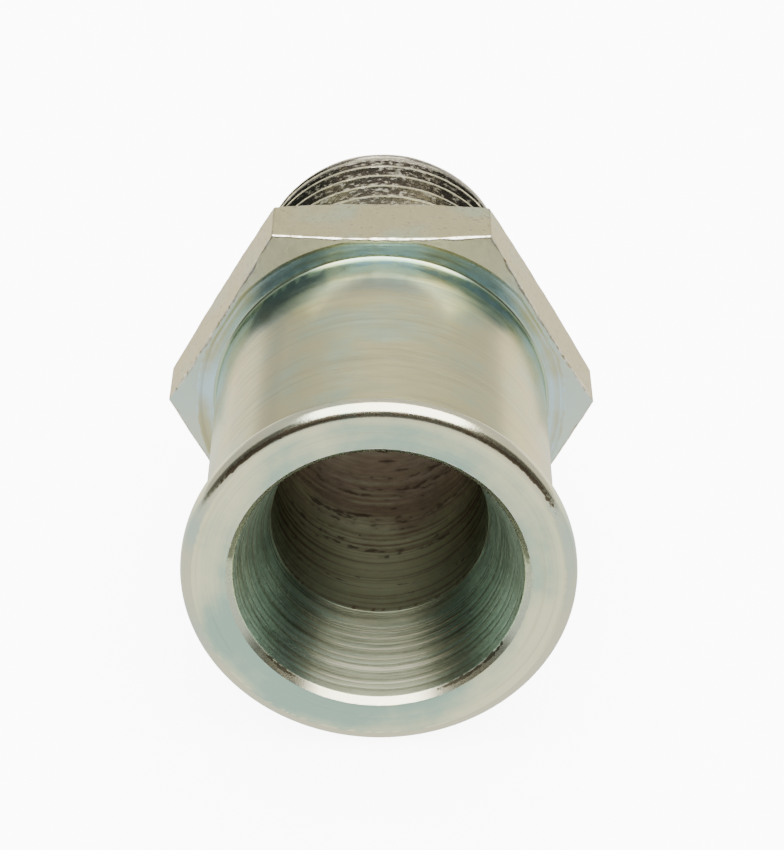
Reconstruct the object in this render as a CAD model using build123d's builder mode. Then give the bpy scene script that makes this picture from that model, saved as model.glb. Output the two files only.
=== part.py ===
"""Straight heater hose fitting: a beaded hose barrel, a thin hexagon and a threaded end,
turned from one piece of steel hexagon bar. Millimetres.

The fitting lies on one flat of its hexagon. Its axis is the Y axis: the hose end points to -Y,
the threaded end to +Y, and +Z is up. The origin is on the axis, in the face of the hexagon
that seats on the port, where the thread starts.
"""
from build123d import *
import math
import os

# Hexagon
HEX_ACROSS_FLATS = 21.4
HEX_THICKNESS = 4.5
HEX_CHAMFER_ANGLE = 15.0        # of the turned faces, measured from the plane of the face
HEX_FACE_STEP_IN = 0.02         # how far inside the flats the flat turned face ends

# Hose barrel, bead and mouth
BARREL_DIAMETER = 19.05         # three-quarter inch hose
BARREL_LENGTH = 18.6            # mouth face to hexagon
BARREL_ROOT_FILLET = 0.3        # left in the corner by the nose of the turning tool
BEAD_DIAMETER = 21.0
BEAD_ROUND = 0.62               # of both shoulders
BEAD_LAND = 0.23                # flat top between the shoulders

# Water way
BORE_DIAMETER = 11.85
MOUTH_DIAMETER = 15.44          # wide end of the funnel, behind its chamfer
FUNNEL_DEPTH = 5.85             # mouth face to the start of the straight bore
MOUTH_CHAMFER = 0.34
BORE_CHAMFER = 0.3              # at the threaded end

# Threaded end: the blank before threading, 18 threads to the inch
THREAD_DIAMETER = 15.875        # five-eighths of an inch, over the crests
THREAD_LENGTH = 13.5            # hexagon to the end of the fitting
THREAD_LEAD_LENGTH = 2.9        # long shallow lead for the first turns of the thread
THREAD_LEAD_ANGLE = 7.4         # of the lead, measured from the axis
TIP_CHAMFER = 0.25

# Stations along the axis and radii that follow from these sizes
apothem = HEX_ACROSS_FLATS / 2
face_radius = apothem - HEX_FACE_STEP_IN
seat_y = 0.0
shoulder_y = seat_y - HEX_THICKNESS
mouth_y = shoulder_y - BARREL_LENGTH
tip_y = seat_y + THREAD_LENGTH
bore_start_y = mouth_y + FUNNEL_DEPTH
barrel_radius = BARREL_DIAMETER / 2
bead_radius = BEAD_DIAMETER / 2
bore_radius = BORE_DIAMETER / 2
mouth_radius = MOUTH_DIAMETER / 2
thread_radius = THREAD_DIAMETER / 2
lead_start_y = tip_y - THREAD_LEAD_LENGTH
lead_slope = math.tan(math.radians(THREAD_LEAD_ANGLE))
corner_radius = apothem / math.cos(math.radians(30))

os.makedirs("parts", exist_ok=True)


def arc(centre_r, centre_y, radius, start, sweep):
    """One round stretch of a half section: centre, radius, start angle and swept angle."""
    return CenterArc((centre_r, centre_y), radius, start, sweep)


with BuildPart() as hose_fitting:
    # The bar stock: a hexagon with one flat down and one flat up
    with BuildSketch(Plane.XZ.offset(-seat_y)) as hexagon:
        RegularPolygon(apothem, 6, major_radius=False)
    extrude(amount=HEX_THICKNESS)

    # Both faces of the hexagon are turned: flat as far as the flats, then a shallow cone
    cone_drop = (corner_radius - face_radius) * math.tan(math.radians(HEX_CHAMFER_ANGLE))
    with BuildSketch(Plane.XY) as hexagon_envelope:
        with BuildLine():
            Polyline(
                (0, shoulder_y),
                (face_radius, shoulder_y),
                (corner_radius, shoulder_y + cone_drop),
                (corner_radius, seat_y - cone_drop),
                (face_radius, seat_y),
                (0, seat_y),
                close=True,
            )
        make_face()
    revolve(axis=Axis.Y, mode=Mode.INTERSECT)

    # Everything outside the hexagon is turned round: mouth face, bead, barrel and thread blank
    bead_front_y = mouth_y + BEAD_ROUND
    bead_back_y = bead_front_y + BEAD_LAND
    bead_shoulder_r = bead_radius - BEAD_ROUND
    bead_root_y = bead_back_y + BEAD_ROUND
    with BuildSketch(Plane.XY) as outside:
        with BuildLine():
            Line((0, mouth_y), (bead_shoulder_r, mouth_y))
            arc(bead_shoulder_r, bead_front_y, BEAD_ROUND, -90, 90)
            Line((bead_radius, bead_front_y), (bead_radius, bead_back_y))
            arc(bead_shoulder_r, bead_back_y, BEAD_ROUND, 0, 90)
            Polyline(
                (bead_shoulder_r, bead_root_y),
                (barrel_radius, bead_root_y),
                (barrel_radius, shoulder_y - BARREL_ROOT_FILLET),
            )
            arc(
                barrel_radius + BARREL_ROOT_FILLET,
                shoulder_y - BARREL_ROOT_FILLET,
                BARREL_ROOT_FILLET,
                180,
                -90,
            )
            lead_end_y = tip_y - TIP_CHAMFER
            lead_end_r = thread_radius - (lead_end_y - lead_start_y) * lead_slope
            Polyline(
                (barrel_radius + BARREL_ROOT_FILLET, shoulder_y),
                (thread_radius, shoulder_y),
                (thread_radius, lead_start_y),
                (lead_end_r, lead_end_y),
                (lead_end_r - TIP_CHAMFER, tip_y),
                (0, tip_y),
                (0, mouth_y),
            )
        make_face()
    revolve(axis=Axis.Y)

    # The water way: chamfered funnel, then one straight bore through to the tip
    with BuildSketch(Plane.XY) as water_way:
        with BuildLine():
            Polyline(
                (0, mouth_y),
                (mouth_radius + MOUTH_CHAMFER, mouth_y),
                (mouth_radius, mouth_y + MOUTH_CHAMFER),
                (bore_radius, bore_start_y),
                (bore_radius, tip_y - BORE_CHAMFER),
                (bore_radius + BORE_CHAMFER, tip_y),
                (0, tip_y),
                close=True,
            )
        make_face()
    revolve(axis=Axis.Y, mode=Mode.SUBTRACT)

hose_fitting.part.label = "hose_fitting"
export_step(hose_fitting.part, "parts/hose_fitting.step")
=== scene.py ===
# %% [markdown]
# # A zinc-plated heater hose fitting
#
# The fitting is one turned piece of steel: a beaded barrel for a hose, a thin
# hexagon for a spanner, and a threaded end. Its solid comes from the frame.
# This lesson makes the surface that the camera sees: a mesh with the real
# thread and tool marks, and the plating, with a finish of its own on each of
# ten surfaces.
#
# The frame is loaded first, because every size below starts from it.

# %% Load the frame
import math

import bmesh
import bpy
import numpy as np
from mathutils import Matrix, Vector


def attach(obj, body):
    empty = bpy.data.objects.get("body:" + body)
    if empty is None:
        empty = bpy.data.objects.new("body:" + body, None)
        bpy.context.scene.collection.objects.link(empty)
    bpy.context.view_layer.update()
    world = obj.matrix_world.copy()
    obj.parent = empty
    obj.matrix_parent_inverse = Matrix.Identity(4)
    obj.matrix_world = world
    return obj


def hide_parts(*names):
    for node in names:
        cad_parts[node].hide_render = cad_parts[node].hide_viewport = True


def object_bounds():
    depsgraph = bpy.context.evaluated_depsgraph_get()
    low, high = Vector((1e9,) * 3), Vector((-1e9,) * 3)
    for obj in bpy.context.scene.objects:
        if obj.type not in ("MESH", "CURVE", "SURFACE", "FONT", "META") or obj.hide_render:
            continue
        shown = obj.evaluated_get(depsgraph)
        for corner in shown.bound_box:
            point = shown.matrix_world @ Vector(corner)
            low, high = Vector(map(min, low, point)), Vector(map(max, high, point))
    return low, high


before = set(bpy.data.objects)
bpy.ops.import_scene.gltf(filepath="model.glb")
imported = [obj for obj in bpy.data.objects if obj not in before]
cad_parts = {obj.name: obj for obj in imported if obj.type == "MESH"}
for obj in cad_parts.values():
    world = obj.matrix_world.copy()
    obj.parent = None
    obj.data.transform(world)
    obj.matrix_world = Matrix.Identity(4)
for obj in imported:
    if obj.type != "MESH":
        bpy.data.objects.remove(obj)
cad_low, cad_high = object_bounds()
scene = bpy.context.scene
print("frame from", [round(v, 5) for v in cad_low], "to", [round(v, 5) for v in cad_high])

# %% [markdown]
# ## The camera
#
# The photograph looks down into the mouth from 30 degrees above the floor.
# The place and the lens below come from a fit to the outlines of the bead, the
# barrel and the hexagon, so that the render and the photograph can be laid
# over each other. The camera tips by its pitch, turns by its yaw and leans by
# its roll.

# %% Camera
CAMERA_PLACE = (0.0009, -0.1565, 0.0875)
CAMERA_LENS = 128.2
CAMERA_PITCH = math.radians(30.32)
CAMERA_YAW = math.radians(-0.1)
CAMERA_ROLL = math.radians(0.23)

camera_data = bpy.data.cameras.new("camera")
camera_data.lens = CAMERA_LENS
camera_data.sensor_width = 36.0
camera_data.clip_start = 0.002
camera_data.clip_end = 20.0
camera = bpy.data.objects.new("camera", camera_data)
scene.collection.objects.link(camera)
camera.matrix_world = (
    Matrix.Translation(CAMERA_PLACE)
    @ Matrix.Rotation(-CAMERA_YAW, 4, "Z")
    @ Matrix.Rotation(math.pi / 2 - CAMERA_PITCH, 4, "X")
    @ Matrix.Rotation(CAMERA_ROLL, 4, "Z")
)
scene.camera = camera
print("camera lens", CAMERA_LENS, "mm")

# %% [markdown]
# ## Sizes
#
# Everything is worked out in millimetres and scaled once, when the mesh is
# made. The axis of the piece is the Y axis: the mouth of the barrel is at the
# low end and the tip of the thread at the high end. Three sizes are read from
# the frame, and the rest say where the lathe stopped.

# %% Sizes in millimetres
MM = 0.001
MOUTH = cad_low.y / MM
TIP = cad_high.y / MM
APOTHEM = cad_high.z / MM

HEX_FRONT = -4.5
HEX_BACK = 0.0
HEX_FACE_RADIUS = 10.68
HEX_CHAMFER = math.radians(15)
HEX_CORNER_ROUND = 0.2
HEX_EDGE_ROUND = 0.12

BARREL_RADIUS = 9.525
BARREL_FILLET = 0.2
BEAD_RADIUS = 10.5
BEAD_ROUND = 0.62
BEAD_LAND = 0.23
CORNER = 0.08

FUNNEL_RADIUS = 7.72
MOUTH_CHAMFER = 0.34
BORE_RADIUS = 5.925
FUNNEL_DEPTH = 5.85
BORE_CHAMFER = 0.3

THREAD_RADIUS = 7.9375
THREAD_PITCH = 25.4 / 18
THREAD_DEPTH = 0.86
LEAD_LENGTH = 2.9
LEAD_SLOPE = math.tan(math.radians(7.4))
TIP_CHAMFER = 0.25
print("mouth", round(MOUTH, 2), "tip", round(TIP, 2), "half the flats", round(APOTHEM, 2))

# %% [markdown]
# ## Columns round the axis
#
# A turned piece is a profile carried round an axis, so its mesh is a grid:
# rows along the profile and columns round the axis. Even columns would miss
# the corners of the hexagon, so the columns crowd together at each corner and
# are even between them. All rows share the same columns, which keeps the whole
# piece one closed skin. The angle of a column is 0 at the top of the piece,
# and a positive angle is on the right as the camera sees it.

# %% Columns
NEAR_CORNER = np.array([0.0, 0.3, 0.7])
BETWEEN = np.linspace(1.6, 58.4, 33)
SECTOR = np.concatenate([NEAR_CORNER, BETWEEN, 60 - NEAR_CORNER[:0:-1]])
CORNERS = 30 + 60 * np.arange(-1, 5)
ANGLE = np.radians(np.concatenate([(CORNERS[:, None] + SECTOR).ravel(), [330.0]]))
print("columns", len(ANGLE) - 1)


def hexagon_radius(apothem, corner_round):
    """Radius of a hexagon with rounded corners at each column.

    On a flat it is the apothem divided by the cosine of the angle from the
    middle of that flat. Near a corner it is the far side of a small circle
    whose centre lies on the line to the corner.
    """
    half_sector = math.pi / 6
    from_flat = np.abs((ANGLE + half_sector) % (2 * half_sector) - half_sector)
    from_corner = half_sector - from_flat
    to_centre = (apothem - corner_round) / math.cos(half_sector)
    inside = np.maximum(corner_round**2 - (to_centre * np.sin(from_corner)) ** 2, 0)
    corner = to_centre * np.cos(from_corner) + np.sqrt(inside)
    flat = apothem / np.cos(from_flat)
    return np.where(inside > 0, np.minimum(corner, flat), flat)


# %% [markdown]
# ## Stretches of profile
#
# A profile is a radius and a place on the axis. Two helpers are enough for a
# turned piece: a straight stretch, and a rounded one. Each returns the two as
# a column of numbers, one for each row of the grid.

# %% Stretches
def straight(start, end, rows):
    """From start to end, both (radius, place): start + (end - start) * t."""
    t = np.linspace(0, 1, rows)[:, None]
    return start[0] + (end[0] - start[0]) * t, start[1] + (end[1] - start[1]) * t


def rounded(centre, size, first, last, rows):
    """An arc: centre + size * (cosine, sine) of an angle from first to last.

    The angle is in degrees, from the outward radius towards the thread.
    """
    turn = np.radians(np.linspace(first, last, rows))[:, None]
    return centre[0] + size * np.cos(turn), centre[1] + size * np.sin(turn)


# %% [markdown]
# ## Marks of the tool
#
# A perfect profile looks like plastic. The real one has rings where the tool
# chattered, and torn spots. `ripple` adds up cosines that go round the axis a
# whole number of times, so that the last column meets the first. `grooves` is
# a row of narrow troughs at chosen depths.

# %% Tool marks
WAVES = 24


def smooth(value, start, end):
    """A soft step: 3 t^2 - 2 t^3, where t runs from 0 at start to 1 at end."""
    t = np.clip((value - start) / (end - start), 0, 1)
    return t * t * (3 - 2 * t)


def peak(value, centre, width):
    """A soft hill of height 1: exp(-((value - centre) / width) ** 2)."""
    return np.exp(-(((value - centre) / width) ** 2))


def grooves(depth, places, width):
    """Troughs of depth 1: the sum of the soft hills at the places."""
    return sum(peak(depth, place, width) for place in places)


def ripple(angle, place, seed, around, along=4.0):
    """Uneven surface of about -1 to 1: the sum of cosines of n * angle + k * place.

    n is a whole number of up to around turns, and k has a spread of along.
    """
    draw = np.random.default_rng(seed)
    total = np.zeros(np.broadcast(angle, place).shape)
    for _ in range(WAVES):
        turns = draw.integers(-around, around + 1)
        climb = draw.normal(0, along)
        shift = draw.uniform(0, 2 * math.pi)
        total += np.cos(turns * angle + climb * place + shift)
    return total / math.sqrt(WAVES)


# %% [markdown]
# ## Where tints and marks lie
#
# The film on the plating, the dirt, and the painted shade and painted
# reflections lie on certain sides of the piece. Two soft steps of the
# column's angle say which side. Their numbers, and the shares of tint and
# mark further down, are set one by one.

# %% Sides of the piece
def facing(direction, start, end):
    """The soft step of the cosine of the angle between a column and a direction in radians."""
    return smooth(np.cos(ANGLE - direction), start, end)


def sideways(start, end):
    """The soft step of the sine of a column's angle, the same on the left and on the right."""
    return smooth(np.abs(np.sin(ANGLE)), start, end)


# %% [markdown]
# ## Bands
#
# The piece is made band by band, from the mouth along the outside to the tip,
# and back through the water way. Each band is a grid of points with the name
# of its finish, and `add_band` keeps it with its unrolled coordinates: the
# turn round the axis, and the distance along the profile. The grids meet at
# their ends and are welded afterwards.

# %% Bands
FINISHES = (
    "mouth",
    "bead",
    "barrel",
    "hexagon_face",
    "hexagon_cones",
    "hexagon_flats",
    "thread",
    "funnel",
    "bore",
    "rim",
)
UNROLLED_UNIT = 10
bands = []


def add_band(finish, radius, place, mark=0.0, tint=0.5):
    """Points (radius * sin, place, radius * cos) of the angle at each column.

    A mark above 0 soils the point and one below 0 wears it. On the bead, the
    barrel, the funnel and the rim the marks also carry painted shade, painted
    highlights and painted reflections. The tint says how blue the point is.
    """
    radius, place, mark, tint, angle = np.broadcast_arrays(radius, place, mark, tint, ANGLE)
    step = np.hypot(np.diff(radius, axis=0), np.diff(place, axis=0))
    along = np.concatenate([np.zeros((1, len(ANGLE))), np.cumsum(step, axis=0)])
    band = {
        "finish": finish,
        "points": np.stack([radius * np.sin(angle), place, radius * np.cos(angle)], axis=-1),
        "unrolled": np.stack([angle / (2 * math.pi), along / UNROLLED_UNIT], axis=-1),
        "mark": mark,
        "tint": tint,
    }
    bands.append(band)


# %% [markdown]
# ### The mouth
#
# The mouth was faced off flat, and its plating is the cleanest on the piece.
# The film is bluest at the foot, a little blue at the top, and pale at the
# sides.

# %% Mouth
SHOULDER = BEAD_RADIUS - BEAD_ROUND
MOUTH_EDGE = FUNNEL_RADIUS + MOUTH_CHAMFER

mouth_rows = np.concatenate([[MOUTH_EDGE, MOUTH_EDGE + 0.05], np.linspace(8.3, 9.75, 8), [SHOULDER]])
mouth_rows = mouth_rows[:, None]
foot = facing(math.pi + 0.45, 0.2, 0.95)
crown = facing(0.0, 0.1, 0.9)
inner = smooth(mouth_rows, 8.9, 8.0)
outer = smooth(mouth_rows, 9.2, 9.8)
mouth_tint = 0.2 + 0.8 * foot + 0.22 * crown + 0.25 * inner - 0.35 * outer
add_band("mouth", mouth_rows, MOUTH, tint=mouth_tint)
print("mouth from", round(MOUTH_EDGE, 2), "to", round(SHOULDER, 2))

# %% [markdown]
# ### The bead
#
# The bead stops the hose from slipping off. Its front and back are quarter
# rounds, with a narrow land between them. Small rounds in the corners matter
# more than they seem to: each one catches a thin line of light. On the upper
# part of the front a dark brown band is painted, partly dirt and partly a
# painted dark reflection of the dark room in front. The corner where the bead
# meets the barrel is painted a little darker: painted shade.

# %% Bead
LAND_START = MOUTH + BEAD_ROUND
LAND_END = LAND_START + BEAD_LAND
BEAD_END = MOUTH + 2 * BEAD_ROUND + BEAD_LAND
FRONT_ROWS = 15

front_turn = np.linspace(-90, 0, FRONT_ROWS)[:, None]
# Dark brown band on the upper front: partly dirt, partly a painted dark reflection.
dirt_and_reflection_end = facing(0.08, 0.40, 0.66)
dirt_and_reflection_thin = 1 - 0.45 * facing(0.12, 0.90, 0.99) - 0.1 * np.sin(ANGLE)
dirt_and_reflection_streak = smooth(front_turn, -84, -71) * smooth(front_turn, -46, -66) * dirt_and_reflection_end * dirt_and_reflection_thin
bead_tint = 0.3 * sideways(0.5, 0.95)

front = rounded((SHOULDER, LAND_START), BEAD_ROUND, -90, 0, FRONT_ROWS)
land = straight((BEAD_RADIUS, LAND_START), (BEAD_RADIUS, LAND_END), 3)
back = rounded((SHOULDER, LAND_END), BEAD_ROUND, 0, 90, 9)
wall = straight((SHOULDER, BEAD_END), (BARREL_RADIUS + CORNER, BEAD_END), 3)
root = rounded((BARREL_RADIUS + CORNER, BEAD_END + CORNER), CORNER, -90, -180, 4)
add_band("bead", *front, mark=dirt_and_reflection_streak, tint=bead_tint)
add_band("bead", *land, tint=bead_tint)
add_band("bead", *back, tint=bead_tint)
add_band("bead", *wall, tint=0.3)
# The corner at the barrel is painted a little darker: painted shade.
add_band("bead", *root, mark=0.3, tint=0.3)
print("bead from", round(MOUTH, 2), "to", round(BEAD_END, 2))

# %% [markdown]
# ### The barrel
#
# The barrel is a plain cylinder, but its colour isn't plain. In the last
# millimetres before the hexagon it is painted blue-green, with a darker
# blue-green band next to the fillet: a painted reflection of the hexagon's
# face. A dark patch on either side of the top is a painted dark reflection,
# and the top near the hexagon and the left side are painted duller: painted
# shade.

# %% Barrel
BARREL_END = HEX_FRONT - BARREL_FILLET

barrel_radius, barrel_place = straight((BARREL_RADIUS, BEAD_END + CORNER), (BARREL_RADIUS, BARREL_END), 22)
from_hexagon = BARREL_END - barrel_place
green_side = 0.33 - 0.2 * np.sin(ANGLE + 0.5)
# The blue-green towards the hexagon is a painted reflection of the hexagon's face.
barrel_tint = green_side + (0.95 - green_side) * smooth(from_hexagon, 4.5, 1.2)

# Dark patches either side of the top: painted dark reflections.
left_dark_reflection = facing(-0.60, 0.88, 0.995) * smooth(from_hexagon, 5.0, 2.4)
right_dark_reflection = facing(0.60, 0.93, 0.99) * smooth(from_hexagon, 4.4, 2.8) * smooth(from_hexagon, 0.8, 2.0)
dark_reflection = 0.75 * left_dark_reflection + 0.55 * right_dark_reflection
# The top near the hexagon and the left side: painted shade.
shade_top = facing(0.0, 0.78, 0.92) * smooth(from_hexagon, 8.0, 3.0)
shade_left = facing(-0.8, 0.93, 0.99) * (1 - shade_top)
shade = (0.5 + 0.06 * peak(from_hexagon, 2.7, 0.8)) * shade_top + 0.45 * shade_left
# Next to the fillet, a darker blue-green: a painted reflection of the hexagon's face.
painted_face_reflection = smooth(from_hexagon, 2.4, 0.8) * (1 - left_dark_reflection)
barrel_painted_shade_and_reflections = np.maximum(dark_reflection, shade) - 0.9 * painted_face_reflection
add_band("barrel", barrel_radius, barrel_place, mark=barrel_painted_shade_and_reflections, tint=barrel_tint)

fillet = rounded((BARREL_RADIUS + BARREL_FILLET, BARREL_END), BARREL_FILLET, 180, 90, 7)
add_band("barrel", *fillet, tint=0.9)
print("barrel to", BARREL_END)

# %% [markdown]
# ### The hexagon
#
# The lathe faced the hexagon flat out to a circle as wide as its flats, and
# took the corners off with a 15 degree cone. Where the cone meets a flat, the
# edge rises towards the corners in the curve that every nut has. Here that
# curve comes by itself: the radius of each row is a share of the way out to
# the hexagon, and the cone gives its place. The edge between cone and flat is
# rounded by handling, more in one spot than in the next, so its line of light
# is broken.

# %% Hexagon outline and cones
outline = hexagon_radius(APOTHEM, HEX_CORNER_ROUND)
uneven_edge = np.clip(1 + 0.5 * ripple(ANGLE, 0.0, seed=21, around=70), 0.2, 1.8)
edge_round = HEX_EDGE_ROUND * uneven_edge
cone_start = np.minimum(HEX_FACE_RADIUS, outline - 2 * HEX_EDGE_ROUND)
cone_end = outline - edge_round
cone_share = np.array([0, 0.04, 0.15, 0.35, 0.6, 0.85, 0.97, 1])[:, None]
cone_rows = cone_start + (cone_end - cone_start) * cone_share
cone_rise = np.maximum(cone_rows - HEX_FACE_RADIUS, 0) * math.tan(HEX_CHAMFER)
cone_tint = 0.8 * sideways(0.55, 0.85)

edge_rise = cone_rise[-1]
edge_turn = np.radians(np.linspace(0, 90, 5))[:, None]
edge_radius = cone_end + edge_round * np.sin(edge_turn)
edge_place = edge_rise + edge_round * (1 - np.cos(edge_turn))
print("across the corners", round(2 * float(outline.max()), 2))

# %% [markdown]
# The flat face is the brightest blue of the piece beside the barrel, and warm
# at its rim. A very shallow groove near the rim is where the facing tool
# stopped.

# %% Hexagon faces and flats
FACE_GROOVE = 0.005
GROOVE_SHARE = 0.78
FLAT_TINT = 0.1
EDGE_WEAR = -0.5
SEAT_TINT = 0.7

face_start = BARREL_RADIUS + BARREL_FILLET
face_share = np.array([0, 0.06, 0.25, 0.5, 0.7, 0.74, GROOVE_SHARE, 0.82, 0.9, 1])[:, None]
face_rows = face_start + (cone_start - face_start) * face_share
groove = peak(face_share, GROOVE_SHARE, 0.06)
face_side = sideways(0.5, 0.9)
warm_rim = 0.8 * smooth(face_share, 0.70, 0.96) * (1 - 0.75 * face_side)
face_tint = 0.95 - warm_rim - 0.25 * peak(face_share, 0.5, 0.12) - 0.46 * face_side
face_mark = 0.2 * groove * (1 - face_side)
add_band("hexagon_face", face_rows, HEX_FRONT + FACE_GROOVE * groove, mark=face_mark, tint=face_tint)

flat_start = HEX_FRONT + edge_rise + edge_round
flat_end = HEX_BACK - edge_rise - edge_round
flat_share = np.array([0, 0.02, 0.1, 0.3, 0.5, 0.7, 0.9, 0.98, 1])[:, None]
flat_rows = flat_start + (flat_end - flat_start) * flat_share
add_band("hexagon_cones", cone_rows, HEX_FRONT + cone_rise, tint=cone_tint)
add_band("hexagon_flats", edge_radius, HEX_FRONT + edge_place, mark=EDGE_WEAR, tint=FLAT_TINT)
add_band("hexagon_flats", outline, flat_rows, tint=FLAT_TINT)
add_band("hexagon_flats", edge_radius[::-1], HEX_BACK - edge_place[::-1], mark=EDGE_WEAR, tint=FLAT_TINT)
add_band("hexagon_cones", cone_rows[::-1], HEX_BACK - cone_rise[::-1], tint=cone_tint)

seat_edge = THREAD_RADIUS + CORNER
seat_share = np.array([0, 0.05, 0.35, 0.7, 1])[:, None]
seat_rows = cone_start + (seat_edge - cone_start) * seat_share
seat_root = rounded((seat_edge, HEX_BACK + CORNER), CORNER, -90, -180, 4)
add_band("hexagon_face", seat_rows, HEX_BACK, tint=SEAT_TINT)
add_band("hexagon_face", *seat_root, tint=SEAT_TINT)
print("bands up to the seat", len(bands))

# %% [markdown]
# ### The thread
#
# A thread isn't a stack of rings: each crest climbs one pitch in a turn. The
# rows of this band climb with it, so every crest and root is a clean line of
# vertices. A row that runs past either end of the thread is held at that end,
# and the faces that this squeezes to nothing disappear in the weld. The last
# column meets the first one turn later, which joins the helix to itself.
#
# A long shallow lead at the tip cuts the crests back, which leaves them
# wider, so the rows beside a crest are moved apart there.

# %% Rows of the thread
CREST_PLACE = 10.93
THREAD_START = 0.5
HALF_CREST = 1 / 16
HALF_ROOT_START = HALF_CREST + 5 / 16
BESIDE_CREST = 0.15
MOST_WIDENING = 0.1
FLANK_AND_ROOT = [0.1, 0.21, 0.32, 0.39, 0.5, 0.61, 0.68, 0.79, 0.9]

first_turn = math.floor(-CREST_PLACE / THREAD_PITCH) - 2
end_turn = math.ceil((TIP - CREST_PLACE) / THREAD_PITCH) + 1
row_shares = np.array([-HALF_CREST, 0.0, HALF_CREST, *FLANK_AND_ROOT])
phase = (np.arange(first_turn, end_turn)[:, None] + row_shares).ravel()[:, None]
crest_number = np.round(phase)
past_crest = phase - crest_number
crest_place = CREST_PLACE + THREAD_PITCH * (crest_number + ANGLE / (2 * math.pi))
cut_back = np.maximum(LEAD_SLOPE * (crest_place - (TIP - LEAD_LENGTH)), 0)
widening = cut_back / THREAD_DEPTH * (HALF_ROOT_START - HALF_CREST)
widening = np.where(np.abs(past_crest) < BESIDE_CREST, np.minimum(widening, MOST_WIDENING), 0)
thread_place = crest_place + THREAD_PITCH * (past_crest + np.sign(past_crest) * widening)
thread_place = np.clip(thread_place, THREAD_START, TIP)
print("thread rows", len(phase), "pitch", round(THREAD_PITCH, 3))

# %% [markdown]
# The form is a 60 degree V with a narrow flat on the crest and a wider one in
# the root. It fades out before the hexagon, where the die stopped, and in the
# last millimetre before the tip. The flanks are torn a little, as a dull die
# leaves them.

# %% Form of the thread
RUN_OUT = 1.6
MOST_TEAR = 1.5
FLANK_TEAR = 0.02
SKIN_TEAR = 0.012


def thread_form(place):
    """Depth of the thread as a share: 0 on the crest, 1 in the root, straight between them."""
    climb = (place - CREST_PLACE) / THREAD_PITCH - ANGLE / (2 * math.pi)
    from_crest = np.abs(climb - np.round(climb))
    return np.clip((from_crest - HALF_CREST) / (HALF_ROOT_START - HALF_CREST), 0, 1)


form = thread_form(thread_place)
start_fade = np.clip((thread_place - THREAD_START) / RUN_OUT, 0, 1)
run_out = start_fade * smooth(TIP - thread_place, 0.5, 0.95)
tear = np.clip(ripple(ANGLE, thread_place, seed=3, around=60, along=9.0), -MOST_TEAR, MOST_TEAR)
flank_tear = FLANK_TEAR * (MOST_TEAR + tear) * 4 * form * (1 - form)
cut = (THREAD_DEPTH * form + flank_tear + SKIN_TEAR * np.abs(tear)) * run_out

lead = THREAD_RADIUS - LEAD_SLOPE * (thread_place - (TIP - LEAD_LENGTH))
lead_end = THREAD_RADIUS - LEAD_SLOPE * (LEAD_LENGTH - TIP_CHAMFER)
chamfer = lead_end - (thread_place - (TIP - TIP_CHAMFER))
blank = np.minimum(np.minimum(lead, THREAD_RADIUS), chamfer)
thread_radius = np.minimum(THREAD_RADIUS - cut, blank)
below_crest = np.clip((blank - thread_radius) / THREAD_DEPTH, 0, 1)
print("deepest cut", round(float(cut.max()), 2))

# %% [markdown]
# The thread is nearly black between its crests, with paler specks of dried
# dirt, and its top is a little lighter and browner than its sides. The
# crests are worn bright, most of all on the lead. The ring-shaped face of
# the tip closes the end.

# %% Wear of the thread and the tip
tip_edge = lead_end - TIP_CHAMFER
at_tip = thread_place >= TIP
thread_radius = np.where(at_tip, np.minimum(thread_radius, tip_edge), thread_radius)
tip_row = np.where(np.any(at_tip, axis=0), thread_radius[-1], tip_edge)[None, :]

corroded = facing(0.15, 0.75, 1.0)
on_lead = smooth(thread_place, TIP - 0.6, TIP - 0.35)
fading_slope = peak(TIP - thread_place, 0.72, 0.22)
crest_worn = (0.55 + 0.3 * on_lead) * (1 - 0.9 * fading_slope) * peak(below_crest, 0.0, 0.07)
thread_root = straight((THREAD_RADIUS, HEX_BACK + CORNER), (THREAD_RADIUS, THREAD_START), 2)
add_band("thread", *thread_root)
add_band("thread", thread_radius, thread_place, mark=below_crest - crest_worn, tint=corroded)

tip_share = np.linspace(0, 1, 5)[:, None]
tip_rows = tip_row + (BORE_RADIUS + BORE_CHAMFER - tip_row) * tip_share
add_band("hexagon_face", tip_rows, TIP, tint=0.4)
print("tip from", round(tip_edge, 2), "to", BORE_RADIUS + BORE_CHAMFER)

# %% [markdown]
# ### The bore
#
# From the tip, one straight bore runs back to the funnel of the mouth. It was
# drilled and left, so its rings are torn and uneven, with dirt in the deeper
# ones. It is olive near the funnel and a darker brown further in: the brown
# is its own, and the darkening is painted shade of the deep bore.

# %% Bore
FUNNEL_END = MOUTH + FUNNEL_DEPTH
STEP_ROUND = 0.06
TORN_DEPTH = 0.009
BORE_RING_DEPTH = 0.007
DIRTY_ARCS = (6.3, 8.6, 9.5, 12.2)

bore_tip = straight((BORE_RADIUS + BORE_CHAMFER, TIP), (BORE_RADIUS, TIP - BORE_CHAMFER), 3)
add_band("bore", *bore_tip)

bore_start = (BORE_RADIUS, TIP - BORE_CHAMFER)
bore_end = (BORE_RADIUS, FUNNEL_END + STEP_ROUND)
bore_radius, bore_place = straight(bore_start, bore_end, 84)
into_bore = bore_place - FUNNEL_END
bore_fade = smooth(bore_place, TIP - 1, TIP - 2) * smooth(into_bore, 0.5, 2.0)
torn = ripple(ANGLE, bore_place, seed=5, around=5, along=7.0)
bore_rings = ripple(0.0, bore_place, seed=8, around=0, along=11.0)
bore_relief = (TORN_DEPTH * torn + BORE_RING_DEPTH * bore_rings) * bore_fade
arcs = 0.22 * grooves(into_bore, DIRTY_ARCS, 0.28) * facing(math.pi, 0.5, 0.95)
bore_mark = (0.36 * np.clip(torn, 0, 1) + arcs) * bore_fade
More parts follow.
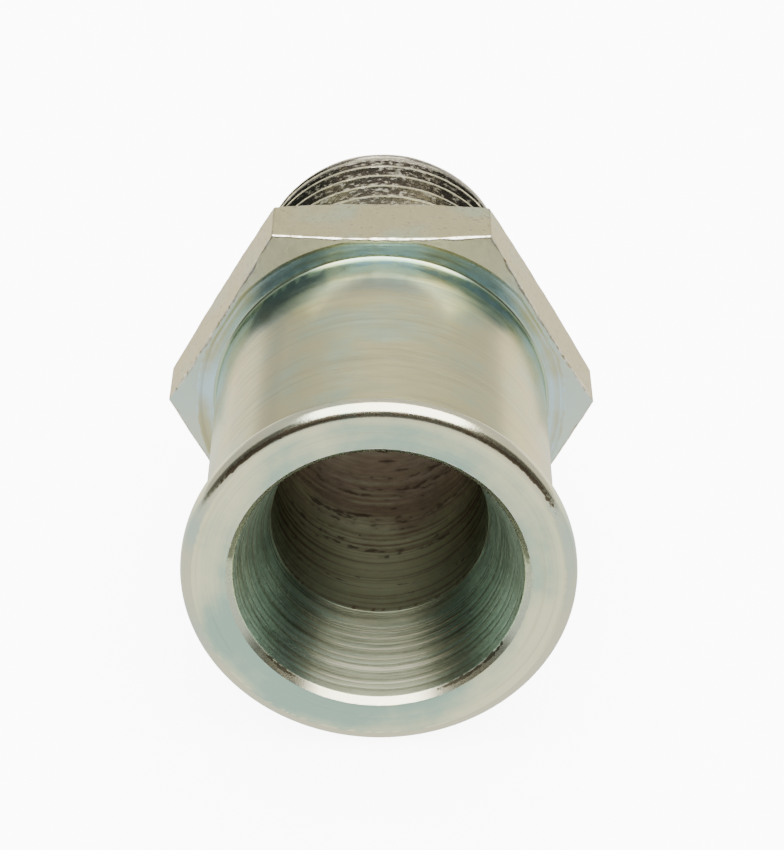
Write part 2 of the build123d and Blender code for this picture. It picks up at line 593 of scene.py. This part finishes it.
# Darker brown further in: its own brown, with painted shade of the deep bore.
bore_tint_and_depth_shade = 1 - smooth(into_bore, 5.0, 13.0)
add_band("bore", bore_radius + bore_relief, bore_place, mark=bore_mark, tint=bore_tint_and_depth_shade)
print("bore", round(TIP - FUNNEL_END, 2), "mm long")

# %% [markdown]
# ### The funnel
#
# The funnel's rings are a few deep chatter marks, painted dark, over finer
# ones. Between them, a few rings at the foot are painted light: painted
# highlights. A thin lip stands where the funnel's tool broke into the bore,
# and it catches a line of light; it is also painted lighter, a painted
# highlight.

# %% Funnel
DARK_RINGS = (0.81, 1.5, 1.87, 2.4, 3.1, 3.71, 4.4, 4.76, 5.6)
PAINTED_HIGHLIGHT_RINGS = (1.2, 2.05, 2.2, 2.75, 3.4, 4.1, 4.6)
RING_DEPTH = 0.009
FINE_DEPTH = 0.0025
LIP_HEIGHT = 0.02

funnel_slope = (FUNNEL_RADIUS - BORE_RADIUS) / (FUNNEL_DEPTH - MOUTH_CHAMFER)
step_end = (BORE_RADIUS + STEP_ROUND * funnel_slope, FUNNEL_END - STEP_ROUND)
step_radius, step_place = straight(bore_end, step_end, 7)
lip = peak(step_place, FUNNEL_END, 0.03)
# The lip is painted lighter: a painted highlight.
add_band("funnel", step_radius - LIP_HEIGHT * lip, step_place, mark=-0.45 * lip, tint=0.3)

funnel_radius, funnel_place = straight(step_end, (FUNNEL_RADIUS, MOUTH + MOUTH_CHAMFER), 92)
funnel_depth = funnel_place - MOUTH
inner_fade = np.clip((step_end[1] - funnel_place) / 0.2, 0, 1)
outer_fade = np.clip((funnel_depth - MOUTH_CHAMFER) / 0.15, 0, 1)
funnel_fade = inner_fade * outer_fade
dark = grooves(funnel_depth + 0.02 * np.sin(ANGLE * 2 + 1), DARK_RINGS, 0.055)
# Rings at the foot painted light: painted highlights.
painted_ring_highlights = grooves(funnel_depth, PAINTED_HIGHLIGHT_RINGS, 0.07) * facing(math.pi - 0.1, 0.6, 0.95)
fine = ripple(ANGLE, funnel_place, seed=11, around=1, along=11.0)
funnel_relief = (RING_DEPTH * dark + FINE_DEPTH * fine) * funnel_fade
funnel_dark_rings_and_highlights = (0.75 * dark - 0.65 * painted_ring_highlights) * funnel_fade
funnel_tint = np.clip(0.95 + 0.2 * fine - 0.9 * facing(math.pi, 0.66, 0.99), 0, 1)
add_band("funnel", funnel_radius + funnel_relief, funnel_place, mark=funnel_dark_rings_and_highlights, tint=funnel_tint)
print("funnel rings", len(DARK_RINGS), "dark", len(PAINTED_HIGHLIGHT_RINGS), "painted_ring_highlights")

# %% [markdown]
# ### The rim
#
# The chamfer between the funnel and the mouth is bright at the foot, where it
# shows the light overhead. On either side of that, along its inner edge, a
# dark band is painted: partly dirt and partly a painted dark reflection of
# the dark room in front. Its upper half is painted dark: painted shade.

# %% Rim
RIM_ROWS = 7

from_foot = (np.degrees(ANGLE) % 360) - 180
# Dark bands either side of the foot: partly dirt, partly a painted dark reflection.
left_dirt_and_dark_reflection = smooth(from_foot, 30, 37) * smooth(from_foot, 56, 49)
right_dirt_and_dark_reflection = smooth(-from_foot, 20, 28) * smooth(-from_foot, 64, 54)
funnel_side = smooth(np.linspace(0, 1, RIM_ROWS)[:, None], 0.65, 0.2)
# The upper half is painted dark: painted shade.
painted_shade_above = 1.4 * facing(0.0, -0.1, 0.6)
rim_dirt_and_painted_light = 0.9 * (left_dirt_and_dark_reflection + right_dirt_and_dark_reflection) * funnel_side - painted_shade_above
rim_tint = smooth(np.abs(from_foot), 40, 60)
rim_band = straight((FUNNEL_RADIUS, MOUTH + MOUTH_CHAMFER), (MOUTH_EDGE, MOUTH), RIM_ROWS)
add_band("rim", *rim_band, mark=rim_dirt_and_painted_light, tint=rim_tint)
print("bands", len(bands))

# %% [markdown]
# ## The mesh
#
# Each grid of rows and columns becomes a sheet of four-sided faces. With rows
# running along the profile and columns clockwise as seen from the mouth, the
# corner order below turns every face outwards. Welding the doubled points
# closes the skin, and the squeezed faces at the ends of the thread go.

# %% Mesh
WELD = 0.0005 * MM
SHARP_ANGLE = math.radians(28)


def grid_faces(rows, columns, first):
    """Corners of every face of a grid whose points are numbered row by row from first."""
    i, j = np.meshgrid(np.arange(rows - 1), np.arange(columns - 1), indexing="ij")
    corner = first + i * columns + j
    corners = [corner, corner + 1, corner + columns + 1, corner + columns]
    return np.stack(corners, axis=-1).reshape(-1, 4)


def join_bands(label, width):
    """One long array of what every band holds under a label, with width numbers in a row."""
    return np.concatenate([band[label].reshape(-1, width) for band in bands])


def build_mesh(name):
    """All the bands as one welded mesh with its unrolled map, finishes, marks and tints."""
    faces = []
    finish_index = []
    first = 0
    for band in bands:
        rows, columns, _ = band["points"].shape
        faces.append(grid_faces(rows, columns, first))
        finish_index.append(np.full(len(faces[-1]), FINISHES.index(band["finish"])))
        first += rows * columns
    faces = np.concatenate(faces)

    mesh = bpy.data.meshes.new(name)
    mesh.from_pydata(join_bands("points", 3) * MM, [], faces)
    mesh.polygons.foreach_set("material_index", np.concatenate(finish_index).astype(np.int32))
    layer = mesh.uv_layers.new(name="unrolled")
    corner_map = join_bands("unrolled", 2)[faces.ravel()]
    layer.data.foreach_set("uv", corner_map.astype(np.float32).ravel())
    for label in ("mark", "tint"):
        attribute = mesh.attributes.new(label, "FLOAT", "POINT")
        attribute.data.foreach_set("value", join_bands(label, 1).astype(np.float32).ravel())

    work = bmesh.new()
    work.from_mesh(mesh)
    bmesh.ops.remove_doubles(work, verts=work.verts, dist=WELD)
    open_edges = sum(1 for edge in work.edges if not edge.is_manifold)
    print("open edges", open_edges, "volume mm3", round(work.calc_volume(signed=True) / MM**3, 1))
    work.to_mesh(mesh)
    work.free()
    mesh.shade_smooth()
    mesh.set_sharp_from_angle(angle=SHARP_ANGLE)
    return mesh


fitting = bpy.data.objects.new("plated_fitting", build_mesh("plated_fitting"))
scene.collection.objects.link(fitting)
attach(fitting, "root")
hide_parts("hose_fitting")
triangles = sum(len(face.vertices) - 2 for face in fitting.data.polygons)
print("triangles", triangles)

# %% [markdown]
# ## Making nodes
#
# A shader is a small program drawn as boxes and wires. `add` makes a box, sets
# its options, and fills each input with a number or with a wire from another
# box. The helpers after it make the few boxes that come again and again.

# %% Node helpers
FLOAT = "NodeSocketFloat"


def fill(tree, socket, value):
    """Gives a socket its value, or a wire where the value is another socket."""
    if isinstance(value, bpy.types.NodeSocket):
        tree.links.new(value, socket)
    else:
        socket.default_value = value


def add(tree, kind, inputs=None, **options):
    """A new node: options are its settings, inputs its values or the sockets wired to it."""
    made = tree.nodes.new(kind)
    for name, value in options.items():
        setattr(made, name, value)
    for socket, value in (inputs or {}).items():
        fill(tree, made.inputs[socket], value)
    return made


def calc(tree, operation, first, second=0.0):
    """The result of one sum, such as MULTIPLY or MAXIMUM, of two values."""
    return add(tree, "ShaderNodeMath", {0: first, 1: second}, operation=operation).outputs[0]


def ramp(tree, value, start, end, low=0.0, high=1.0):
    """Runs smoothly from low to high while value goes from start to end."""
    inputs = {"Value": value, "From Min": start, "From Max": end, "To Min": low, "To Max": high}
    made = add(tree, "ShaderNodeMapRange", inputs, interpolation_type="SMOOTHSTEP")
    return made.outputs["Result"]


def blend(tree, share, first, second):
    """A colour between first and second."""
    inputs = {"Factor": share, "A": first, "B": second}
    mix = add(tree, "ShaderNodeMix", data_type="RGBA")
    for socket in mix.inputs:
        if socket.enabled and socket.name in inputs:
            fill(tree, socket, inputs[socket.name])
    return next(socket for socket in mix.outputs if socket.enabled)


def new_group(name, inputs, output):
    """An empty node group of float inputs with their values, and its two end nodes."""
    group = bpy.data.node_groups.new(name, "ShaderNodeTree")
    for label, value in inputs.items():
        socket = group.interface.new_socket(label, in_out="INPUT", socket_type=FLOAT)
        socket.default_value = value
    group.interface.new_socket(output, in_out="OUTPUT", socket_type=FLOAT)
    return group, group.nodes.new("NodeGroupInput"), group.nodes.new("NodeGroupOutput")


def use_group(tree, group, **inputs):
    """A node that runs a group with its own values."""
    made = add(tree, "ShaderNodeGroup", node_tree=group)
    for label, value in inputs.items():
        made.inputs[label.replace("_", " ")].default_value = value
    return made.outputs[0]


# %% [markdown]
# ## Turning marks
#
# Fine rings run round the axis on every turned surface, on a cylinder and on
# a flat face alike. Noise does both if it is squeezed along the profile: the
# distance along it is about the place on the axis plus the radius, and that
# sum is what the group squeezes. Along the rings the noise is left long, so
# that a ring slowly fades as it goes round. Squeezed less, the same noise
# makes the short specks of dust, pits and first rust.

# %% Group: turning marks
turning, group_in, group_out = new_group(
    "turning marks",
    {"Rings per mm": 6.0, "Length per mm": 0.12, "Detail": 1.5},
    "Height",
)
place = add(turning, "ShaderNodeTexCoord").outputs["Object"]
axes = add(turning, "ShaderNodeSeparateXYZ", {0: place})
radius_squared = calc(
    turning,
    "ADD",
    calc(turning, "MULTIPLY", axes.outputs["X"], axes.outputs["X"]),
    calc(turning, "MULTIPLY", axes.outputs["Z"], axes.outputs["Z"]),
)
along_profile = calc(turning, "ADD", calc(turning, "SQRT", radius_squared), axes.outputs["Y"])
ring_scale = calc(turning, "MULTIPLY", group_in.outputs["Rings per mm"], 1 / MM)
long_scale = calc(turning, "MULTIPLY", group_in.outputs["Length per mm"], 1 / MM)
squeezed = add(
    turning,
    "ShaderNodeCombineXYZ",
    {
        "X": calc(turning, "MULTIPLY", axes.outputs["X"], long_scale),
        "Y": calc(turning, "MULTIPLY", along_profile, ring_scale),
        "Z": calc(turning, "MULTIPLY", axes.outputs["Z"], long_scale),
    },
).outputs[0]
ring_noise = add(
    turning,
    "ShaderNodeTexNoise",
    {"Vector": squeezed, "Scale": 1.0, "Detail": group_in.outputs["Detail"]},
)
turning.links.new(ring_noise.outputs["Fac"], group_out.inputs["Height"])
print("group", turning.name)

# %% [markdown]
# ## Mottle
#
# Plating is never one colour: its tint drifts over a few millimetres, which is
# a soft cloud. Plain noise does it, and the same noise made fine is the grain
# of a surface. The seed moves it, so that two clouds don't coincide.

# %% Group: mottle
mottle, group_in, group_out = new_group("mottle", {"Per mm": 0.3, "Seed": 0.0}, "Cloud")
place = add(mottle, "ShaderNodeTexCoord").outputs["Object"]
moved = {0: place, 1: group_in.outputs["Seed"]}
shifted = add(mottle, "ShaderNodeVectorMath", moved, operation="ADD").outputs[0]
cloud_scale = calc(mottle, "MULTIPLY", group_in.outputs["Per mm"], 1 / MM)
cloud_noise = add(
    mottle,
    "ShaderNodeTexNoise",
    {"Vector": shifted, "Scale": cloud_scale, "Detail": 4.0},
)
mottle.links.new(cloud_noise.outputs["Fac"], group_out.inputs["Cloud"])
print("group", mottle.name)

# %% [markdown]
# ## The plating
#
# Zinc with a clear passivation is a grey metal with a faint film: straw where
# it is thick, blue-green where it is thin. One function builds the finish of
# every surface, and each surface gives it its own two tints, its own rings,
# and how much dirt sits in the marks. On some surfaces the marks are painted
# shade, painted highlights and painted reflections, laid on with the same
# colours as dirt and wear. The stretch of the highlight across the rings,
# which is what makes turned metal look turned, is the anisotropy of the
# shader, along the unrolled map.

# %% Plating
CLOUDS_PER_MM = 0.25
CLOUD_DRIFT = 2.5
RING_DRIFT = 3.0
# Where a mark turns to the dark colour or the worn colour; on some surfaces these paint shade, highlights
# and reflections.
DIRT_AND_SHADE_FROM = 0.35
DIRT_AND_SHADE_TO = 0.65
WEAR_AND_LIGHT_FROM = -0.3
WEAR_AND_LIGHT_TO = -0.6
BROKEN_BY = 0.3
RING_SHADE_FROM = 0.5
RING_SHADE_TO = 0.28
SMOOTHEST = 0.92
ROUGHEST = 1.1
PIT_DEPTH = 0.6
ACROSS_RINGS = 0.25


def plating(
    name,
    straw,
    blue,
    roughness,
    rings=(5.0, 0.006, 0.2),
    ring_length=0.06,
    specks=(4.0, 0.72, 4.0),
    speck_edge=0.05,
    grain=(3.0, 0.0),
    dirt_and_painted_shade=(0.10, 0.07, 0.045, 1),
    dirt_and_painted_shade_in_marks=0.0,
    matt_dirt_and_painted_shade=0.2,
    broken=2.2,
    wear_and_painted_light=(0.9, 0.88, 0.82, 1),
    cloudy=1.0,
    spread=0.3,
):
    """The finish of one surface.

    The colour runs from straw to blue with the tint of the mesh, the cloud and
    the rings. It turns to the colour dirt in the specks and where the mark of
    the mesh is above 0, and to the colour worn where the mark is below 0. On
    some surfaces these two colours are real grime and wear, and on others
    painted shade, painted highlights and painted reflections.

    rings is (per millimetre, height in millimetres, darkness), and ring_length
    is how often a ring changes in a millimetre along it. specks is (per
    millimetre across the rings, threshold, per millimetre along the rings),
    and speck_edge is the softness of their edges. grain is (per millimetre,
    height in millimetres). dirt_and_painted_shade_in_marks is how much of the colour dirt a mark
    holds, broken is how far the specks break up its edge, and matt_dirt_and_painted_shade is how
    much rougher the surface is under the colour dirt. cloudy is the strength of
    the cloud, and spread is the anisotropy.
    """
    ring_count, ring_height, ring_dark = rings
    speck_count, threshold, speck_length = specks
    grain_count, grain_height = grain

    material = bpy.data.materials.new(name)
    material.use_nodes = True
    tree = material.node_tree
    shader = tree.nodes["Principled BSDF"]
    cloud = use_group(tree, mottle, Per_mm=CLOUDS_PER_MM, Seed=0.3)
    coarse = use_group(tree, mottle, Per_mm=grain_count, Seed=0.1)
    marks = use_group(tree, turning, Rings_per_mm=ring_count, Length_per_mm=ring_length)
    spots = use_group(tree, turning, Rings_per_mm=speck_count, Length_per_mm=speck_length, Detail=3.0)
    specked = ramp(tree, spots, threshold, threshold + speck_edge)
    own_mark = add(tree, "ShaderNodeAttribute", attribute_name="mark").outputs["Fac"]
    own_tint = add(tree, "ShaderNodeAttribute", attribute_name="tint").outputs["Fac"]

    drift = calc(tree, "MULTIPLY", calc(tree, "SUBTRACT", cloud, 0.5), CLOUD_DRIFT * cloudy)
    ring_drift = calc(tree, "MULTIPLY", calc(tree, "SUBTRACT", marks, 0.5), RING_DRIFT * ring_dark)
    drifted = calc(tree, "ADD", calc(tree, "ADD", own_tint, drift), ring_drift)
    film = blend(tree, ramp(tree, drifted, 0.0, 1.0), straw, blue)
    shaded = ramp(tree, marks, RING_SHADE_FROM, RING_SHADE_TO, 0.0, ring_dark)
    ringed = blend(tree, shaded, film, dirt_and_painted_shade)

    # A mark above 0 takes the dark colour, dirt and painted shade; a mark below 0 takes the worn colour,
    # wear and painted light.
    spot = calc(tree, "SUBTRACT", spots, 0.5)
    breaks = calc(tree, "MULTIPLY", spot, ramp(tree, own_mark, 0.0, BROKEN_BY, 0.0, broken))
    held = ramp(tree, calc(tree, "ADD", own_mark, breaks), DIRT_AND_SHADE_FROM, DIRT_AND_SHADE_TO)
    dirt_and_painted_shade_share = calc(tree, "MAXIMUM", specked, calc(tree, "MULTIPLY", held, dirt_and_painted_shade_in_marks))
    wear_and_painted_light_share = ramp(tree, calc(tree, "ADD", own_mark, spot), WEAR_AND_LIGHT_FROM, WEAR_AND_LIGHT_TO)
    colour = blend(tree, wear_and_painted_light_share, blend(tree, dirt_and_painted_shade_share, ringed, dirt_and_painted_shade), wear_and_painted_light)
    tree.links.new(colour, shader.inputs["Base Color"])

    uneven = ramp(tree, spots, 0.3, 0.7, roughness * SMOOTHEST, roughness * ROUGHEST)
    rough = calc(tree, "ADD", uneven, calc(tree, "MULTIPLY", dirt_and_painted_shade_share, matt_dirt_and_painted_shade))
    tree.links.new(rough, shader.inputs["Roughness"])

    pits = calc(tree, "MULTIPLY", specked, PIT_DEPTH)
    grains = calc(tree, "MULTIPLY", coarse, grain_height / ring_height)
    height = calc(tree, "ADD", calc(tree, "SUBTRACT", marks, pits), grains)
    bump = add(tree, "ShaderNodeBump", {"Height": height, "Distance": ring_height * MM, "Strength": 1.0})
    tree.links.new(bump.outputs["Normal"], shader.inputs["Normal"])
    tangent = add(tree, "ShaderNodeTangent", direction_type="UV_MAP", uv_map="unrolled")
    tree.links.new(tangent.outputs["Tangent"], shader.inputs["Tangent"])
    shader.inputs["Metallic"].default_value = 1.0
    shader.inputs["Anisotropic"].default_value = spread
    shader.inputs["Anisotropic Rotation"].default_value = ACROSS_RINGS
    return material


# %% [markdown]
# The ten finishes follow. The mouth, the bead and the rim are the cleanest,
# and the thread and the bore the dirtiest. The flats are as the bar was drawn,
# so they have grain and specks and no rings.

# %% Finishes
SILVER = (0.80, 0.77, 0.53, 1)

finishes = {
    "mouth": plating(
        "zinc_mouth",
        straw=(0.96, 0.975, 0.61, 1),
        blue=(0.42, 0.62, 0.49, 1),
        roughness=0.22,
        rings=(4.0, 0.0015, 0.14),
        specks=(3.0, 0.80, 3.0),
        grain=(9.0, 0.001),
        cloudy=0.9,
    ),
    "bead": plating(
        "zinc_bead",
        straw=SILVER,
        blue=(0.50, 0.68, 0.57, 1),
        roughness=0.17,
        rings=(5.0, 0.0015, 0.05),
        specks=(5.0, 0.80, 3.5),
        grain=(6.0, 0.004),
        # On the bead the dark colour is the band on its front, partly dirt and partly a painted dark
        # reflection, and the painted shade of its corner.
        dirt_and_painted_shade=(0.09, 0.06, 0.035, 1),
        dirt_and_painted_shade_in_marks=0.9,
    ),
    "barrel": plating(
        "zinc_barrel",
        straw=(0.65, 0.60, 0.32, 1),
        blue=(0.50, 0.62, 0.44, 1),
        roughness=0.21,
        rings=(4.5, 0.0013, 0.2),
        specks=(2.6, 0.85, 0.5),
        grain=(10.0, 0.0012),
        # On the barrel the dark colour is the painted shade and the painted dark reflections, besides the
        # specks.
        dirt_and_painted_shade=(0.19, 0.25, 0.235, 1),
        dirt_and_painted_shade_in_marks=0.85,
        matt_dirt_and_painted_shade=0.0,
        broken=0.1,
        # On the barrel the worn colour is the painted reflection of the hexagon's face.
        wear_and_painted_light=(0.38, 0.53, 0.50, 1),
        cloudy=1.1,
    ),
    "hexagon_face": plating(
        "zinc_hexagon_face",
        straw=(0.58, 0.57, 0.32, 1),
        blue=(0.62, 0.84, 0.88, 1),
        roughness=0.24,
        rings=(4.0, 0.002, 0.2),
        specks=(4.0, 0.75, 1.0),
        dirt_and_painted_shade_in_marks=0.5,
    ),
    "hexagon_cones": plating(
        "zinc_hexagon_cones",
        straw=(0.84, 0.82, 0.56, 1),
        blue=(0.64, 0.78, 0.68, 1),
        roughness=0.42,
        rings=(0.6, 0.001, 0.0),
        specks=(4.0, 0.74, 4.0),
        grain=(9.0, 0.0015),
        dirt_and_painted_shade=(0.3, 0.26, 0.18, 1),
        cloudy=0.5,
        spread=0.0,
    ),
    "hexagon_flats": plating(
        "zinc_hexagon_flats",
        straw=(0.49, 0.44, 0.24, 1),
        blue=(0.43, 0.48, 0.32, 1),
        roughness=0.30,
        rings=(0.6, 0.001, 0.0),
        specks=(3.6, 0.56, 3.6),
        speck_edge=0.16,
        grain=(10.0, 0.002),
        dirt_and_painted_shade=(0.30, 0.245, 0.155, 1),
        matt_dirt_and_painted_shade=0.0,
        wear_and_painted_light=(0.95, 0.93, 0.80, 1),
        cloudy=1.8,
        spread=0.0,
    ),
    "thread": plating(
        "zinc_thread",
        straw=(0.135, 0.135, 0.108, 1),
        blue=(0.19, 0.165, 0.135, 1),
        roughness=0.21,
        rings=(5.0, 0.003, 0.0),
        specks=(4.5, 0.50, 2.6),
        speck_edge=0.22,
        grain=(4.5, 0.010),
        dirt_and_painted_shade=(0.42, 0.40, 0.31, 1),
        wear_and_painted_light=(0.93, 0.87, 0.56, 1),
    ),
    "funnel": plating(
        "zinc_funnel",
        straw=(0.375, 0.385, 0.26, 1),
        blue=(0.385, 0.495, 0.405, 1),
        roughness=0.36,
        rings=(6.5, 0.0018, 0.6),
        ring_length=0.03,
        specks=(5.0, 0.85, 0.5),
        # In the funnel the dark colour is that of the specks and of the rings painted dark.
        dirt_and_painted_shade=(0.10, 0.105, 0.07, 1),
        dirt_and_painted_shade_in_marks=0.6,
        # In the funnel the worn colour is the painted highlight of the rings at the foot and of the lip.
        wear_and_painted_light=(0.66, 0.63, 0.46, 1),
        cloudy=0.5,
        spread=0.75,
    ),
    "bore": plating(
        "zinc_bore",
        # The dark brown of the far bore carries painted shade as well as its own colour.
        straw=(0.185, 0.145, 0.092, 1),
        blue=(0.39, 0.45, 0.32, 1),
        roughness=0.40,
        rings=(3.2, 0.004, 0.4),
        specks=(2.6, 0.665, 1.5),
        speck_edge=0.14,
        grain=(4.0, 0.005),
        dirt_and_painted_shade=(0.11, 0.065, 0.04, 1),
        dirt_and_painted_shade_in_marks=0.6,
        cloudy=0.6,
    ),
    "rim": plating(
        "zinc_rim",
        straw=SILVER,
        blue=(0.55, 0.60, 0.46, 1),
        roughness=0.26,
        rings=(5.0, 0.0004, 0.05),
        specks=(6.0, 0.82, 3.0),
        grain=(4.0, 0.0004),
        # On the rim the dark colour is dirt together with a painted dark reflection.
        dirt_and_painted_shade=(0.03, 0.024, 0.015, 1),
        dirt_and_painted_shade_in_marks=0.9,
        # On the rim the worn colour is dark: the painted shade of the upper half.
        wear_and_painted_light=(0.17, 0.19, 0.145, 1),
        cloudy=0.3,
    ),
}
for finish in FINISHES:
    fitting.data.materials.append(finishes[finish])
print("finishes", len(finishes))

# %% [markdown]
# ## Light
#
# Metal shows the room around it more than its own colour, so the room is what
# has to be right. In the photograph the top of the bead is a white band, the
# front of the bead a dark one, and the barrel an even grey. That is a bright
# soft box overhead, a dark side where the camera stands, and a plain wall
# behind. The room is painted on the world: which way a ray goes decides how
# bright the room is there. The camera itself sees a plain pale backdrop.

# %% World
BOX_LIGHT = 8.0
BOX_ACROSS = (-0.78, -0.5, 0.75, 1.0)
BOX_ALONG = (-1.2, -1.1, 0.95, 1.1)
WALL_LEFT = (0.70, 0.70, 0.686, 1)
WALL_RIGHT = (0.80, 0.80, 0.768, 1)
WALL_TURN = 0.6
DARK_LIGHT = 0.10
DARK_FROM = -0.1
DARK_TO = -0.3
LEAST_UPWARD = 0.02
BACKDROP = 9.0


def grey(level):
    """A colour of three equal parts."""
    return (level, level, level, 1)


def window(tree, value, edges):
    """1 between the two middle edges, 0 beyond the two outer ones, and soft between them."""
    rise = ramp(tree, value, edges[0], edges[1])
    fall = ramp(tree, value, edges[3], edges[2])
    return calc(tree, "MULTIPLY", rise, fall)


world = bpy.data.worlds.new("studio")
scene.world = world
world.use_nodes = True
tree = world.node_tree
direction = add(tree, "ShaderNodeTexCoord").outputs["Generated"]
axes = add(tree, "ShaderNodeSeparateXYZ", {0: direction})
upward = calc(tree, "MAXIMUM", axes.outputs["Z"], LEAST_UPWARD)
across = window(tree, calc(tree, "DIVIDE", axes.outputs["X"], upward), BOX_ACROSS)
along = window(tree, calc(tree, "DIVIDE", axes.outputs["Y"], upward), BOX_ALONG)
box = calc(tree, "MULTIPLY", across, along)
walls = blend(tree, ramp(tree, axes.outputs["X"], -WALL_TURN, WALL_TURN), WALL_LEFT, WALL_RIGHT)
near_camera = ramp(tree, axes.outputs["Y"], DARK_FROM, DARK_TO)
around = blend(tree, near_camera, walls, grey(DARK_LIGHT))
room = blend(tree, box, around, grey(BOX_LIGHT))
seen = add(tree, "ShaderNodeLightPath").outputs["Is Camera Ray"]
shown = blend(tree, seen, room, grey(BACKDROP))
tree.links.new(shown, tree.nodes["Background"].inputs["Color"])
print("world", world.name)

# %% [markdown]
# ## The floor
#
# The fitting lies on one flat of its hexagon on a plain pale floor. The floor
# is a disc, wide enough to fill every view. It looks pale to the camera. The
# metal sees it bright near the piece, brighter and warm behind it, and dark
# further forward, where the table of the photograph ends, and that is what
# shapes the reflections.

# %% Floor
FLOOR_RADIUS = 3.0
FLOOR_SIDES = 64
FLOOR_SEEN_BY_CAMERA = 0.8
FLOOR_GLOW = 8.0
FLOOR_BRIGHT = 1.1
FLOOR_BEHIND = 1.65
FLOOR_DARK = 0.12
BRIGHT_FROM = -0.11
BRIGHT_TO = -0.075
BEHIND_FROM = -0.02
BEHIND_TO = 0.02
WARM = (1, 0.94, 0.80, 1)

turn = np.linspace(0, 2 * math.pi, FLOOR_SIDES, endpoint=False)
floor_height = np.full(FLOOR_SIDES, cad_low.z)
floor_edge = np.stack([FLOOR_RADIUS * np.cos(turn), FLOOR_RADIUS * np.sin(turn), floor_height], axis=-1)
floor_mesh = bpy.data.meshes.new("floor")
floor_mesh.from_pydata(floor_edge, [], [list(range(FLOOR_SIDES))])
floor = bpy.data.objects.new("floor", floor_mesh)
scene.collection.objects.link(floor)

pale = bpy.data.materials.new("pale_floor")
pale.use_nodes = True
tree = pale.node_tree
tree.nodes.remove(tree.nodes["Principled BSDF"])
seen = add(tree, "ShaderNodeLightPath").outputs["Is Camera Ray"]
matt_colour = blend(tree, seen, grey(0), grey(FLOOR_SEEN_BY_CAMERA))
matt = add(tree, "ShaderNodeBsdfDiffuse", {"Color": matt_colour})
place = add(tree, "ShaderNodeTexCoord").outputs["Object"]
depth = add(tree, "ShaderNodeSeparateXYZ", {0: place}).outputs["Y"]
near_floor = ramp(tree, depth, BRIGHT_FROM, BRIGHT_TO, FLOOR_DARK, FLOOR_BRIGHT)
more_behind = ramp(tree, depth, BEHIND_FROM, BEHIND_TO, 0.0, FLOOR_BEHIND - FLOOR_BRIGHT)
reflected = calc(tree, "ADD", near_floor, more_behind)
strength = add(tree, "ShaderNodeMix", {"Factor": seen, "A": reflected, "B": FLOOR_GLOW}).outputs[0]
behind = ramp(tree, depth, BEHIND_FROM, BEHIND_TO)
warm_share = calc(tree, "MULTIPLY", behind, calc(tree, "SUBTRACT", 1.0, seen))
glow_colour = blend(tree, warm_share, grey(1), WARM)
glow = add(tree, "ShaderNodeEmission", {"Color": glow_colour, "Strength": strength})
both = add(tree, "ShaderNodeAddShader", {0: matt.outputs[0], 1: glow.outputs[0]})
tree.links.new(both.outputs[0], tree.nodes["Material Output"].inputs["Surface"])
floor_mesh.materials.append(pale)
print("floor at", round(cad_low.z, 5))

# %% [markdown]
#
# The mesh may not outgrow the solid that it replaces. The box of the frame is
# written out.

print("cad   ", [round(v, 5) for v in [*cad_low, *cad_high]])
